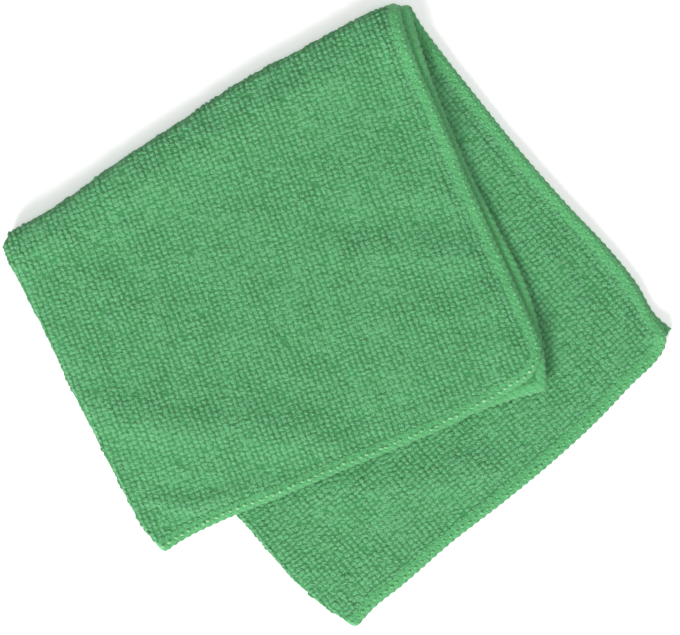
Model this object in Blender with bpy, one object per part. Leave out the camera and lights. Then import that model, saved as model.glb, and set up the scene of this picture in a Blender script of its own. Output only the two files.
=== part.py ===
"""A square microfibre cloth, folded in half and then across, lying on a surface.

The cloth is one closed sheet of terry with an overlocked hem. A lengthwise crease
lays it double, and a slanting cross fold turns that double strip back over itself.
So there are four layers, from the surface up: outer, inner, inner, outer. The upper
pair of layers is swung round a little, so the lower pair fans out to the right of it.

Frame: metres, +Z up, +X right and +Y away when the folded cloth is looked down on.
The origin is on the surface, under the middle of the folded cloth.
"""

import bmesh
import bpy
import numpy as np

MM = 0.001

# The sheet, and how its layers lie.
THICKNESS = 2.0 * MM
GAP = 0.5 * MM
PITCH = THICKNESS + GAP
STACK = 4 * THICKNESS + 3 * GAP

# The two folds: the middle of the sheet turns at these radii about axes this far inside.
CREASE_RADIUS = PITCH / 2
CREASE_CENTRE = CREASE_RADIUS + THICKNESS / 2
CROSS_RADIUS = PITCH
CROSS_CENTRE = CROSS_RADIUS + CREASE_CENTRE
AXIS_HEIGHT = STACK / 2

# The outer layers wrap the inner ones, so they reach a little less far across.
OUTER_SHARE = 0.982

# The bottom layer's hem lies this far inside the second layer's, once this share across.
FIRST_HEM_INSET = 3.8 * MM
FIRST_HEM_SHARE = 0.4

# The hem: how far in from the cut edge each station lies, and its share of the thickness.
HEM_STATIONS = (
    # (from the edge in mm, share of the thickness)
    (0.0, 0.30),
    (0.8, 0.74),
    (3.0, 0.86),
    (5.7, 0.66),
    (7.1, 1.00),
)

# How finely the sheet is divided.
PANEL_STEPS = 15
LOWER_STEPS = 17
UPPER_STEPS = 14
CREASE_TURNS = 8
CROSS_TURNS = 10
CURVE_SAMPLES = 80

# Corners of the layers, in mm from a point near the middle of the folded cloth.
CORNERS = {
    # name: (x, y)
    "both_folds": (-155.4, 36.0),
    "cross_fold_end": (31.4, 144.4),
    "upper_crease_end": (-79.4, -107.6),
    "top_layer_corner": (95.8, -22.9),
    "third_layer_corner": (94.9, -33.9),
    "lower_crease_end": (7.9, -142.2),
    "second_layer_corner": (152.2, -7.6),
    "first_layer_corner": (156.9, -4.2),
}

# Each edge runs between two corners. Its outer side is 1 to the left of that run, -1 to the right.
EDGES = {
    # name: (start, end, outer side)
    "cross_fold": ("both_folds", "cross_fold_end", 1),
    "upper_crease": ("both_folds", "upper_crease_end", -1),
    "lower_crease": ("both_folds", "lower_crease_end", -1),
    "top_side": ("cross_fold_end", "top_layer_corner", 1),
    "third_side": ("cross_fold_end", "third_layer_corner", 1),
    "second_side": ("cross_fold_end", "second_layer_corner", 1),
    "first_side": ("cross_fold_end", "first_layer_corner", 1),
    "top_hem": ("upper_crease_end", "top_layer_corner", -1),
    "third_hem": ("upper_crease_end", "third_layer_corner", -1),
    "second_hem": ("lower_crease_end", "second_layer_corner", -1),
    "first_hem": ("lower_crease_end", "first_layer_corner", -1),
}

# How far each edge bows outwards from its straight line, in mm, at these shares of its length.
BOW_SHARES = (0.06, 0.15, 0.30, 0.45, 0.60, 0.75, 0.85, 0.94)
BOWS = {
    # name: one bow for each share
    "cross_fold": (-0.9, -0.8, 2.3, 3.9, 5.9, 4.9, 4.2, 3.1),
    "upper_crease": (0.2, 0.7, 1.2, 2.4, 2.9, 3.4, 3.7, 2.8),
    "lower_crease": (0.5, 1.0, 2.3, 3.6, 4.7, 5.6, 6.1, 3.7),
    "top_side": (-2.0, -3.0, -2.3, -1.9, -1.0, 0.0, 0.6, 0.8),
    "third_side": (-0.8, -1.6, -1.0, 0.8, 4.5, 7.6, 6.5, 3.4),
    "second_side": (-1.9, -2.6, -2.7, -2.5, -1.1, 0.9, 0.9, -1.6),
    "first_side": (-1.9, -2.6, -2.7, -2.5, -1.1, 0.9, 0.4, -2.4),
    "top_hem": (-1.4, -1.5, 0.5, 1.9, 3.7, 4.9, 3.7, 1.8),
    "third_hem": (-2.4, -3.8, -4.1, -4.1, -4.0, -3.6, -3.1, -1.7),
    "second_hem": (-1.0, 0.3, 1.3, 4.1, 5.9, 6.0, 4.7, 4.0),
    "first_hem": (-1.0, 0.3, 1.3, 4.1, 5.9, 6.0, 4.2, 3.0),
}

# The layers. The corner radii, in mm, are those where both folds meet, where the cross fold
# meets the side hem, where the crease meets the hem, and where the two hems meet.
LAYERS = {
    # name: (in the upper pair, inside the crease, crease, side, hem, corner radii)
    "first": (False, False, "lower_crease", "first_side", "first_hem", (9.0, 2.0, 2.0, 1.0)),
    "second": (False, True, "lower_crease", "second_side", "second_hem", (9.0, 2.0, 2.0, 9.0)),
    "third": (True, True, "upper_crease", "third_side", "third_hem", (9.0, 2.0, 1.5, 2.4)),
    "top": (True, False, "upper_crease", "top_side", "top_hem", (9.0, 4.2, 1.5, 14.2)),
}

# The upper pair comes down to the surface where the lower pair no longer carries it.
DROP = 2 * PITCH
DROP_WIDTH = 34.0 * MM
TOP_HELD = 0.65

# A cut edge sinks on to the layer under it, and the top one sinks this much more.
HEM_SETTLE = 0.5 * MM
TOP_SETTLE = 0.3 * MM
HEM_SETTLE_REACH = 8.0 * MM

# Free corners that stand up a little.
UPPER_LIFTS = (
    # (x, y, lift, reach), all in mm
    (95.8, -22.9, 3.6, 21.0),
    (36.0, 132.0, 2.2, 26.0),
)
SECOND_LIFTS = ((146.5, -8.5, 2.4, 5.0),)

# Soft ridges and troughs in the stack: a height of the top layer over the run of a line.
SWELL = 1.2 * MM
LEAST_SWELL = 0.1 * MM
CREASES = (
    # (x0, y0, x1, y1, half width, height), all in mm
    (-144.4, 30.0, 24.0, 127.0, 12.3, 2.6),
    (-110.4, -44.0, -3.8, -53.5, 9.4, 2.0),
    (-86.8, -81.2, -18.9, -66.1, 7.6, -0.8),
    (-106.7, 13.2, -79.3, -5.7, 8.5, 0.8),
    (-3.8, 62.3, 46.3, 57.6, 8.5, 0.9),
    (0.9, 43.4, 54.8, 42.5, 7.6, -0.7),
    (9.4, 29.0, 61.0, 27.0, 8.0, 1.3),
    (28.3, -5.7, 73.6, 7.6, 8.5, 0.8),
    (86.8, 52.9, 124.6, 7.6, 7.6, -1.6),
    (89.7, 34.0, 112.3, 4.7, 8.5, 1.6),
    (-3.8, -79.3, 64.2, -69.9, 9.4, 3.6),
    (73.6, -79.3, 118.9, -37.8, 7.6, -1.2),
)

CLOTH_COLOUR = (0.112, 0.376, 0.162)
CLOTH_ROUGHNESS = 0.95
TINY = 1e-9


def clear_scene():
    for obj in list(bpy.data.objects):
        bpy.data.objects.remove(obj)


def smooth(share):
    """0 to 1 with level ends."""
    share = np.clip(share, 0.0, 1.0)
    return share * share * (3.0 - 2.0 * share)


def through(knots, values, at):
    """A smooth curve through the values: cubic pieces whose slopes are central differences."""
    knots = np.asarray(knots, float)
    values = np.asarray(values, float)
    slopes = np.gradient(values, knots)
    piece = np.clip(np.searchsorted(knots, at, side="right") - 1, 0, len(knots) - 2)
    width = knots[piece + 1] - knots[piece]
    u = (at - knots[piece]) / width
    start = values[piece] * (1 + 2 * u) + slopes[piece] * width * u
    end = values[piece + 1] * (3 - 2 * u) - slopes[piece + 1] * width * (1 - u)
    return start * (1 - u) ** 2 + end * u**2


def edge_point(name, share):
    """The point at a share of an edge's length: along the chord, then out by the bow."""
    start_name, end_name, outer_side = EDGES[name]
    start = np.array(CORNERS[start_name]) * MM
    run = np.array(CORNERS[end_name]) * MM - start
    across = outer_side * np.array((-run[1], run[0])) / np.hypot(*run)
    share = np.asarray(share, float)
    bow = through((0.0, *BOW_SHARES, 1.0), (0.0, *BOWS[name], 0.0), share) * MM
    return start + share[..., None] * run + bow[..., None] * across


def chord_length(name):
    """The straight distance between an edge's two corners."""
    start, end = (np.array(CORNERS[corner]) * MM for corner in EDGES[name][:2])
    return np.hypot(*(end - start))


def rounded(first, second, radius):
    """Two distances from a corner's edges, moved so that square rings about it turn round."""
    a = np.clip(1 - first / radius, 0.0, None)
    b = np.clip(1 - second / radius, 0.0, None)
    ring = np.maximum(a, b)
    turn = np.pi / 4 * np.minimum(a, b) / np.maximum(ring, TINY)
    longer, shorter = ring * np.cos(turn), ring * np.sin(turn)
    inside = (a > 0) & (b > 0)
    new_first = np.where(a >= b, longer, shorter)
    new_second = np.where(a >= b, shorter, longer)
    return (
        np.where(inside, radius * (1 - new_first), first),
        np.where(inside, radius * (1 - new_second), second),
    )


def round_corners(x, y, width, length, radii):
    """The layer's reach across and along, with its four corners turned."""
    both_folds, fold_side, crease_hem, hem_hem = (radius * MM for radius in radii)
    x, y = rounded(x, y, both_folds)
    right, y = rounded(width - x, y, fold_side)
    x, below = rounded(width - right, length - y, crease_hem)
    right, below = rounded(width - x, below, hem_hem)
    return width - right, length - below


def patch(fold, hem, crease, side, corners, s, t):
    """Opposite edges blended both ways, less the flat patch of the four corners."""
    s, t = s[..., None], t[..., None]
    fold_start, fold_end, hem_start, hem_end = corners
    flat = (1 - t) * ((1 - s) * fold_start + s * fold_end) + t * ((1 - s) * hem_start + s * hem_end)
    return (1 - t) * fold + t * hem + (1 - s) * crease + s * side - flat


def layer_point(name, x, y):
    """A layer's point from its reach across and along, both from where the two folds meet."""
    _, inner, crease, side, hem, radii = LAYERS[name]
    width = chord_length("cross_fold") * (1.0 if inner else OUTER_SHARE)
    crease_length, side_length = chord_length(crease), chord_length(side)
    length = crease_length + (side_length - crease_length) * x / width
    x, y = round_corners(x, y, width, length, radii)
    s, t = x / width, y / length
    if name == "first":
        t = t * (1 - FIRST_HEM_INSET / length * smooth(s / FIRST_HEM_SHARE))
        s = s * OUTER_SHARE
    fold_share = OUTER_SHARE if name == "top" else 1.0
    fold_end = edge_point("cross_fold", fold_share)
    side_points = edge_point(side, t)
    if name == "top":
        side_points = side_points + (1 - t)[..., None] * (fold_end - edge_point(side, 0.0))
    fold_start = edge_point("cross_fold", 0.0)
    corners = (fold_start, fold_end, edge_point(hem, 0.0), edge_point(hem, 1.0))
    fold_points = edge_point("cross_fold", s * fold_share)
    return patch(fold_points, edge_point(hem, s), edge_point(crease, t), side_points, corners, s, t)


def plain_and_hem(start, length):
    """Distances over one panel from a fold's edge: its plain cloth and then its hem."""
    hem = length - np.array([row[0] for row in HEM_STATIONS]) * MM
    plain = np.linspace(start, hem[-1], PANEL_STEPS + 1)[1:-1]
    return np.concatenate([plain, hem[::-1]])


def thickness_share(from_edge):
    """The share of the full thickness, from the distance to the cut edge."""
    where = [row[0] * MM for row in HEM_STATIONS]
    return np.interp(from_edge, where, [row[1] for row in HEM_STATIONS])


def across_columns():
    """Columns over the lengthwise crease: straight place, turn, and distance to the cut edge."""
    width = chord_length("cross_fold")
    outer = plain_and_hem(CREASE_CENTRE, width * OUTER_SHARE)[::-1]
    inner = plain_and_hem(CREASE_CENTRE, width)
    turns = np.linspace(-np.pi / 2, np.pi / 2, CREASE_TURNS + 1)
    place = np.concatenate([outer, np.full(len(turns), CREASE_CENTRE), inner])
    turn = np.concatenate([np.full(len(outer), turns[0]), turns, np.full(len(inner), turns[-1])])
    from_edge = np.where(turn < 0, width * OUTER_SHARE, width) - place
    return place, turn, from_edge


def along_rows():
    """Rows over the cross fold: its turn, then a share of the plain cloth or a place in the hem."""
    hem = [(None, row[0] * MM) for row in HEM_STATIONS]
    lower = [(share, None) for share in np.linspace(1, 0, LOWER_STEPS + 1)[1:-1]]
    upper = [(share, None) for share in np.linspace(0, 1, UPPER_STEPS + 1)[1:-1]]
    turns = np.linspace(0.0, np.pi, CROSS_TURNS + 1)
    rows = [(turns[0], *row) for row in hem + lower]
    rows += [(turn, 0.0, None) for turn in turns]
    rows += [(turns[-1], *row) for row in upper + hem[::-1]]
    return rows


def panel_lengths(place, turn, upper_pair):
    """Each column's length from the cross fold to the hem, from the crease's to the side's."""
    crease = chord_length("upper_crease" if upper_pair else "lower_crease")
    outer = chord_length("top_side" if upper_pair else "second_side")
    inner = chord_length("third_side" if upper_pair else "second_side")
    side = np.where(turn < 0, outer, inner)
    return crease + (side - crease) * place / chord_length("cross_fold")


def reach_along(length, share, from_hem):
    """A row's distance from the cross fold's edge, set from that edge or from the hem."""
    if from_hem is not None:
        return length - from_hem
    plain = length - HEM_STATIONS[-1][0] * MM
    return CROSS_CENTRE + share * (plain - CROSS_CENTRE)


def outside_lower_crease(points):
    """How far points lie outside the lower pair's crease, with inside as negative."""
    curve = edge_point("lower_crease", np.linspace(0, 1, CURVE_SAMPLES))
    tangent = np.gradient(curve, axis=0)
    tangent /= np.linalg.norm(tangent, axis=1, keepdims=True)
    away = points[:, None, :] - curve
    nearest = np.argmin((away**2).sum(-1), axis=1)
    away = away[np.arange(len(points)), nearest]
    tangent = tangent[nearest]
    return away[:, 0] * tangent[:, 1] - away[:, 1] * tangent[:, 0]


def swell(points):
    """The relief over the stack: a bell across each ridge's line, fading past its ends."""
    total = np.full(len(points), SWELL)
    for x0, y0, x1, y1, half_width, height in CREASES:
        start, run = np.array((x0, y0)) * MM, np.array((x1 - x0, y1 - y0)) * MM
        share = np.clip(((points - start) @ run) / (run @ run), 0.0, 1.0)
        apart = np.linalg.norm(points - start - share[:, None] * run, axis=1)
        total += height * MM * np.exp(-((apart / (half_width * MM)) ** 2))
    return np.maximum(total, LEAST_SWELL)


def lifts(points, table):
    """The sum of round bells of height, each about its place."""
    total = np.zeros(len(points))
    for x, y, lift, reach in table:
        apart = np.linalg.norm(points - np.array((x, y)) * MM, axis=1)
        total += lift * MM * np.exp(-((apart / (reach * MM)) ** 2))
    return total


def laid(flat, height, upper, inner, from_edge):
    """Heights once the cloth has settled, the ridges stand and the corners curl.

    The fat crease holds the top layer up, so it drops less than the one under it. A layer
    that lies on another sinks towards it at its cut edge, unless it has dropped already.
    """
    outside = smooth(outside_lower_crease(flat) / DROP_WIDTH)
    on_another = 1 - (1 - upper) * (1 - inner)
    settle = HEM_SETTLE * on_another + TOP_SETTLE * upper * (1 - inner)
    settle = settle * np.exp(-((from_edge / HEM_SETTLE_REACH) ** 2))
    height = height - upper * DROP * (1 - TOP_HELD * (1 - inner)) * outside
    height = height - settle * (1 - outside)
    height = height * (1 + swell(flat) / STACK)
    return height + upper * lifts(flat, UPPER_LIFTS) + (1 - upper) * inner * lifts(flat, SECOND_LIFTS)


def flat_points(reach, along, upper, inner):
    """Places on the surface, where each layer counts by how far each fold has turned."""
    total = 0.0
    for name, (in_upper, is_inner, *_) in LAYERS.items():
        weight = (upper if in_upper else 1 - upper) * (inner if is_inner else 1 - inner)
        total = total + weight[:, None] * layer_point(name, reach, along)
    return total


def sheet_row(side, row, columns):
    """One row of points on a face of the sheet, over the crease from hem to hem."""
    cross_turn, share, from_hem = row
    place, turn, from_side = columns
    length = panel_lengths(place, turn, cross_turn > np.pi / 2)
    along = reach_along(length, share, from_hem)
    from_edge = np.minimum(from_side, length - along)
    offset = side * THICKNESS / 2 * thickness_share(from_edge)
    reach = place - (CREASE_RADIUS + offset) * np.cos(turn)
    radius = CROSS_RADIUS - (CREASE_RADIUS + offset) * np.sin(turn)
    along = along - radius * np.sin(cross_turn)
    height = AXIS_HEIGHT - radius * np.cos(cross_turn)
    upper, inner = (1 - np.cos(cross_turn)) / 2, (1 + np.sin(turn)) / 2
    flat = flat_points(reach, along, upper, inner)
    return np.column_stack([flat, laid(flat, height, upper, inner, from_edge)])


def sheet_face(side):
    """One face of the folded sheet: side 1 faces out of the crease, side -1 into it."""
    columns = across_columns()
    return np.array([sheet_row(side, row, columns) for row in along_rows()])


def grid_faces(first, rows, columns, flip):
    """Four-sided faces of a grid whose points start at a number."""
    row, column = np.meshgrid(np.arange(rows - 1), np.arange(columns - 1), indexing="ij")
    corner = (first + row * columns + column).ravel()
    faces = np.stack([corner, corner + 1, corner + columns + 1, corner + columns], axis=1)
    return (faces[:, ::-1] if flip else faces).tolist()


def rim_faces(rows, columns):
    """The cut edge, which joins the two faces of the sheet all the way round."""
    last_row = (rows - 1) * columns
    loop = list(range(columns - 1))
    loop += [row * columns + columns - 1 for row in range(rows - 1)]
    loop += [last_row + column for column in range(columns - 1, 0, -1)]
    loop += [row * columns for row in range(rows - 1, 0, -1)]
    other = rows * columns
    return [(b, a, a + other, b + other) for a, b in zip(loop, loop[1:] + loop[:1])]


def centred(points):
    """The points with the middle of their box over the origin, and on the surface."""
    low, high = points.min(axis=0), points.max(axis=0)
    shift = np.array([*(low + high)[:2] / 2, low[2]])
    print("middle of the folded cloth, mm:", np.round(shift / MM, 3))
    return points - shift


def make_material():
    material = bpy.data.materials.new("microfibre")
    material.use_nodes = True
    shader = material.node_tree.nodes["Principled BSDF"]
    shader.inputs["Base Color"].default_value = (*CLOTH_COLOUR, 1.0)
    shader.inputs["Roughness"].default_value = CLOTH_ROUGHNESS
    shader.inputs["Metallic"].default_value = 0.0
    return material


def make_cloth():
    """The whole folded cloth as one closed sheet."""
    outwards, inwards = sheet_face(1), sheet_face(-1)
    rows, columns = outwards.shape[:2]
    points = np.concatenate([outwards.reshape(-1, 3), inwards.reshape(-1, 3)])
    faces = grid_faces(0, rows, columns, False) + grid_faces(rows * columns, rows, columns, True)
    mesh = bpy.data.meshes.new("cloth")
    mesh.from_pydata(centred(points).tolist(), [], faces + rim_faces(rows, columns))
    shell = bmesh.new()
    shell.from_mesh(mesh)
    bmesh.ops.recalc_face_normals(shell, faces=shell.faces)
    shell.to_mesh(mesh)
    shell.free()
    mesh.shade_smooth()
    cloth = bpy.data.objects.new("cloth", mesh)
    bpy.context.scene.collection.objects.link(cloth)
    mesh.materials.append(make_material())
    return cloth


clear_scene()
make_cloth()
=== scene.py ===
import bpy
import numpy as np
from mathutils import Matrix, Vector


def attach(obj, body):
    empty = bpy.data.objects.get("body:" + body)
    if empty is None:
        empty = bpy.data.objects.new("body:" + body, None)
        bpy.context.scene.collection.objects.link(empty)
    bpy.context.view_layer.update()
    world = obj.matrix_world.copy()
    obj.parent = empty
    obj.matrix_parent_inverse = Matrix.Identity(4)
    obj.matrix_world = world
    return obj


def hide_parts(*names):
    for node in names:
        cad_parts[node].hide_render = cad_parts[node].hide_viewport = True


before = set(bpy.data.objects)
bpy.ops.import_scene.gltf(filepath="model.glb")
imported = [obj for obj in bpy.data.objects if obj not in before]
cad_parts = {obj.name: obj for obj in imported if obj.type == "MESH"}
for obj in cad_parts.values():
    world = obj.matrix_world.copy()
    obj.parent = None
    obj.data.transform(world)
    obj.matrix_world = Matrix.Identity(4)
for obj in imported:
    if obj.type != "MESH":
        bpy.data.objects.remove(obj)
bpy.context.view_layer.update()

# %% [markdown]
# # A folded terry cloth, from flat shape to loose fibre
#
# The cloth is a 40 cm square of knitted terry. Its face is covered in short nubs of
# split fibre, and an overlock seam wraps its four raw edges. It is folded lengthwise,
# then across, and the upper pair of layers has been swung round on the lower pair.
#
# The plain folded solid comes in with the frame above. This script dresses it: one thin
# ground sheet on the same folds, terry nubs on the faces that look up, and the seam.

MM = 0.001

# %% [markdown]
# ## The folds
#
# A folded sheet needs two turns. The lengthwise crease has a tight radius, because it
# only turns one thickness. The cross fold goes round the doubled strip, so its radius is
# twice as big. All heights and radii below follow from the thickness and the small gap.
# A cloth simulation could fold it too, but a formula gives the same folds on each run.

# %% Sizes of the folds
THICKNESS = 2.0 * MM
GAP = 0.5 * MM
PITCH = THICKNESS + GAP
STACK = 4 * THICKNESS + 3 * GAP
CREASE_RADIUS = PITCH / 2
CREASE_CENTRE = CREASE_RADIUS + THICKNESS / 2
CROSS_RADIUS = PITCH
CROSS_CENTRE = CROSS_RADIUS + CREASE_CENTRE
AXIS_HEIGHT = STACK / 2
OUTER_SHARE = 0.982
FIRST_HEM_INSET = 3.8 * MM
FIRST_HEM_SHARE = 0.4
print("height of the four layers, mm:", round(STACK / MM, 2))

# %% [markdown]
# ## The outline
#
# Each layer is a four-sided patch. Its corners were read off the photograph, looking
# straight down, and each edge bows a little off the straight line between two corners.
# A short row of bows for each edge keeps the outline easy to read and to change.

# %% Corners and edges, in mm
CORNERS = {
    # name: (x, y)
    "both_folds": (-155.4, 36.0),
    "cross_fold_end": (31.4, 144.4),
    "upper_crease_end": (-79.4, -107.6),
    "top_layer_corner": (95.8, -22.9),
    "third_layer_corner": (94.9, -33.9),
    "lower_crease_end": (7.9, -142.2),
    "second_layer_corner": (152.2, -7.6),
    "first_layer_corner": (156.9, -4.2),
}
EDGES = {
    # name: (start, end, outer side)
    "cross_fold": ("both_folds", "cross_fold_end", 1),
    "upper_crease": ("both_folds", "upper_crease_end", -1),
    "lower_crease": ("both_folds", "lower_crease_end", -1),
    "top_side": ("cross_fold_end", "top_layer_corner", 1),
    "third_side": ("cross_fold_end", "third_layer_corner", 1),
    "second_side": ("cross_fold_end", "second_layer_corner", 1),
    "first_side": ("cross_fold_end", "first_layer_corner", 1),
    "top_hem": ("upper_crease_end", "top_layer_corner", -1),
    "third_hem": ("upper_crease_end", "third_layer_corner", -1),
    "second_hem": ("lower_crease_end", "second_layer_corner", -1),
    "first_hem": ("lower_crease_end", "first_layer_corner", -1),
}
BOW_SHARES = (0.06, 0.15, 0.30, 0.45, 0.60, 0.75, 0.85, 0.94)
BOWS = {
    # name: one bow for each share
    "cross_fold": (-0.9, -0.8, 2.3, 3.9, 5.9, 4.9, 4.2, 3.1),
    "upper_crease": (0.2, 0.7, 1.2, 2.4, 2.9, 3.4, 3.7, 2.8),
    "lower_crease": (0.5, 1.0, 2.3, 3.6, 4.7, 5.6, 6.1, 3.7),
    "top_side": (-2.0, -3.0, -2.3, -1.9, -1.0, 0.0, 0.6, 0.8),
    "third_side": (-0.8, -1.6, -1.0, 0.8, 4.5, 7.6, 6.5, 3.4),
    "second_side": (-1.9, -2.6, -2.7, -2.5, -1.1, 0.9, 0.9, -1.6),
    "first_side": (-1.9, -2.6, -2.7, -2.5, -1.1, 0.9, 0.4, -2.4),
    "top_hem": (-1.4, -1.5, 0.5, 1.9, 3.7, 4.9, 3.7, 1.8),
    "third_hem": (-2.4, -3.8, -4.1, -4.1, -4.0, -3.6, -3.1, -1.7),
    "second_hem": (-1.0, 0.3, 1.3, 4.1, 5.9, 6.0, 4.7, 4.0),
    "first_hem": (-1.0, 0.3, 1.3, 4.1, 5.9, 6.0, 4.2, 3.0),
}
LAYERS = {
    # name: (in the upper pair, inside the crease, crease, side, hem, corner radii)
    "first": (False, False, "lower_crease", "first_side", "first_hem", (9.0, 2.0, 2.0, 1.0)),
    "second": (False, True, "lower_crease", "second_side", "second_hem", (9.0, 2.0, 2.0, 9.0)),
    "third": (True, True, "upper_crease", "third_side", "third_hem", (9.0, 2.0, 1.5, 2.4)),
    "top": (True, False, "upper_crease", "top_side", "top_hem", (9.0, 4.2, 1.5, 14.2)),
}
MIDDLE = np.array((-0.235, 0.548, 0.0)) * MM
print(len(EDGES), "edges,", len(LAYERS), "layers")


# %% A smooth curve through a row of values
def smooth(share):
    """0 to 1 with level ends: 3 s squared less 2 s cubed."""
    share = np.clip(share, 0.0, 1.0)
    return share * share * (3.0 - 2.0 * share)


def through(knots, values, at):
    """Cubic pieces through the values, whose slopes are central differences."""
    knots, values = np.asarray(knots, float), np.asarray(values, float)
    slopes = np.gradient(values, knots)
    piece = np.clip(np.searchsorted(knots, at, side="right") - 1, 0, len(knots) - 2)
    width = knots[piece + 1] - knots[piece]
    u = np.clip((at - knots[piece]) / width, 0.0, 1.0)
    start = values[piece] * (1 + 2 * u) + slopes[piece] * width * u
    end = values[piece + 1] * (3 - 2 * u) - slopes[piece + 1] * width * (1 - u)
    return start * (1 - u) ** 2 + end * u**2


def edge_line(name):
    """The start of an edge, and its straight run from there to the end."""
    start, end = (np.array(CORNERS[corner]) * MM for corner in EDGES[name][:2])
    return start, end - start


def edge_bow(name, share):
    """How far an edge bows out at a share of its run."""
    return through((0.0, *BOW_SHARES, 1.0), (0.0, *BOWS[name], 0.0), share) * MM


def edge_point(name, share):
    """Start plus a share of the straight run, plus the bow square to it."""
    start, run = edge_line(name)
    across = EDGES[name][2] * np.array((-run[1], run[0])) / np.hypot(*run)
    share = np.asarray(share, float)
    return start + share[..., None] * run + edge_bow(name, share)[..., None] * across


def chord_length(name):
    """The straight distance between an edge's two corners."""
    return np.hypot(*edge_line(name)[1])


print("cross fold, mm:", round(chord_length("cross_fold") / MM, 1))


# %% [markdown]
# ## One layer as a patch
#
# A patch mixes its four edges: opposite edges are blended both ways, and the flat patch
# of the four corners is taken off once, because it was counted twice. Round corners come
# from turning the square rings about a corner into arcs, so that lines along the hem
# stay lines along the hem when they go round it.


# %% Corners turned round, and the patch
def rounded(first, second, radius):
    """Two distances from a corner's edges: the square ring through them becomes an arc."""
    a = np.clip(1 - first / radius, 0.0, None)
    b = np.clip(1 - second / radius, 0.0, None)
    ring = np.maximum(a, b)
    turn = np.pi / 4 * np.minimum(a, b) / np.maximum(ring, 1e-9)
    longer, shorter = ring * np.cos(turn), ring * np.sin(turn)
    inside = (a > 0) & (b > 0)
    new_first = np.where(a >= b, longer, shorter)
    new_second = np.where(a >= b, shorter, longer)
    return (
        np.where(inside, radius * (1 - new_first), first),
        np.where(inside, radius * (1 - new_second), second),
    )


def round_corners(x, y, width, length, radii):
    """The panel's four corners turned round one after another."""
    both_folds, fold_side, crease_hem, hem_hem = (radius * MM for radius in radii)
    x, y = rounded(x, y, both_folds)
    right, y = rounded(width - x, y, fold_side)
    x, below = rounded(width - right, length - y, crease_hem)
    right, below = rounded(width - x, below, hem_hem)
    return width - right, length - below


def patch(fold, hem, crease, side, corners, s, t):
    """(1 - t) fold + t hem + (1 - s) crease + s side, less the corners' flat patch."""
    s, t = s[..., None], t[..., None]
    fold_start, fold_end, hem_start, hem_end = corners
    flat = (1 - t) * ((1 - s) * fold_start + s * fold_end) + t * ((1 - s) * hem_start + s * hem_end)
    return (1 - t) * fold + t * hem + (1 - s) * crease + s * side - flat


def layer_point(name, x, y):
    """A layer's place on the table, from its reach across (x) and along (y) from the folds."""
    _, inner, crease, side, hem, radii = LAYERS[name]
    width = chord_length("cross_fold") * (1.0 if inner else OUTER_SHARE)
    crease_length, side_length = chord_length(crease), chord_length(side)
    length = crease_length + (side_length - crease_length) * x / width
    x, y = round_corners(x, y, width, length, radii)
    s, t = x / width, y / length
    if name == "first":
        t = t * (1 - FIRST_HEM_INSET / length * smooth(s / FIRST_HEM_SHARE))
        s = s * OUTER_SHARE
    fold_share = OUTER_SHARE if name == "top" else 1.0
    fold_end = edge_point("cross_fold", fold_share)
    side_points = edge_point(side, t)
    if name == "top":
        side_points = side_points + (1 - t)[..., None] * (fold_end - edge_point(side, 0.0))
    fold_start = edge_point("cross_fold", 0.0)
    corners = (fold_start, fold_end, edge_point(hem, 0.0), edge_point(hem, 1.0))
    fold_points = edge_point("cross_fold", s * fold_share)
    return patch(fold_points, edge_point(hem, s), edge_point(crease, t), side_points, corners, s, t)


# %% [markdown]
# ## How the stack lies
#
# The upper pair comes down to the table where the lower pair no longer carries it, and
# soft ridges and troughs cross the stack. They scale every layer's height in step, so
# layers never pass through each other and the underside stays flat on the table.

# %% Ridges and troughs, in mm
RELIEF = (
    # (x0, y0, x1, y1, half width, height)
    (-144.4, 30.0, 24.0, 127.0, 12.3, 2.6),
    (-110.4, -44.0, -3.8, -53.5, 9.4, 2.0),
    (-86.8, -81.2, -18.9, -66.1, 7.6, -0.8),
    (-106.7, 13.2, -79.3, -5.7, 8.5, 0.8),
    (-3.8, 62.3, 46.3, 57.6, 8.5, 0.9),
    (0.9, 43.4, 54.8, 42.5, 7.6, -0.7),
    (9.4, 29.0, 61.0, 27.0, 8.0, 1.3),
    (28.3, -5.7, 73.6, 7.6, 8.5, 0.8),
    (86.8, 52.9, 124.6, 7.6, 7.6, -1.6),
    (89.7, 34.0, 112.3, 4.7, 8.5, 1.6),
    (-3.8, -79.3, 64.2, -69.9, 9.4, 3.6),
    (73.6, -79.3, 118.9, -37.8, 7.6, -1.2),
    # Low ones that only the thin sheet shows: first those that run along the hem
    (-86.0, -83.5, -70.0, -86.5, 3.6, 1.15),
    (-64.0, -86.5, -36.0, -77.5, 3.6, 1.15),
    (-8.0, -52.5, 44.0, -35.0, 4.0, -0.9),
    (52.0, -32.0, 76.0, -19.0, 4.0, -0.9),
    (-80.0, -55.0, -14.0, -58.0, 6.0, 0.7),
    (-147.0, 25.0, -126.0, 37.0, 7.0, 1.2),
    (32.0, 118.0, 50.0, 78.0, 9.0, 2.2),
    (58.0, 112.0, 76.0, 84.0, 9.0, -0.9),
    (-140.0, 34.0, 22.0, 127.5, 9.0, 0.8),
)
SWELL = 1.2 * MM
LEAST_SWELL = 0.1 * MM


def swell(points):
    """A bell across each line of the table above, fading past its ends."""
    total = np.full(len(points), SWELL)
    for x0, y0, x1, y1, half_width, height in RELIEF:
        start, run = np.array((x0, y0)) * MM, np.array((x1 - x0, y1 - y0)) * MM
        share = np.clip(((points - start) @ run) / (run @ run), 0.0, 1.0)
        apart = np.linalg.norm(points - start - share[:, None] * run, axis=1)
        total += height * MM * np.exp(-((apart / (half_width * MM)) ** 2))
    return np.maximum(total, LEAST_SWELL)


print("ridges and troughs:", len(RELIEF))

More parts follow.
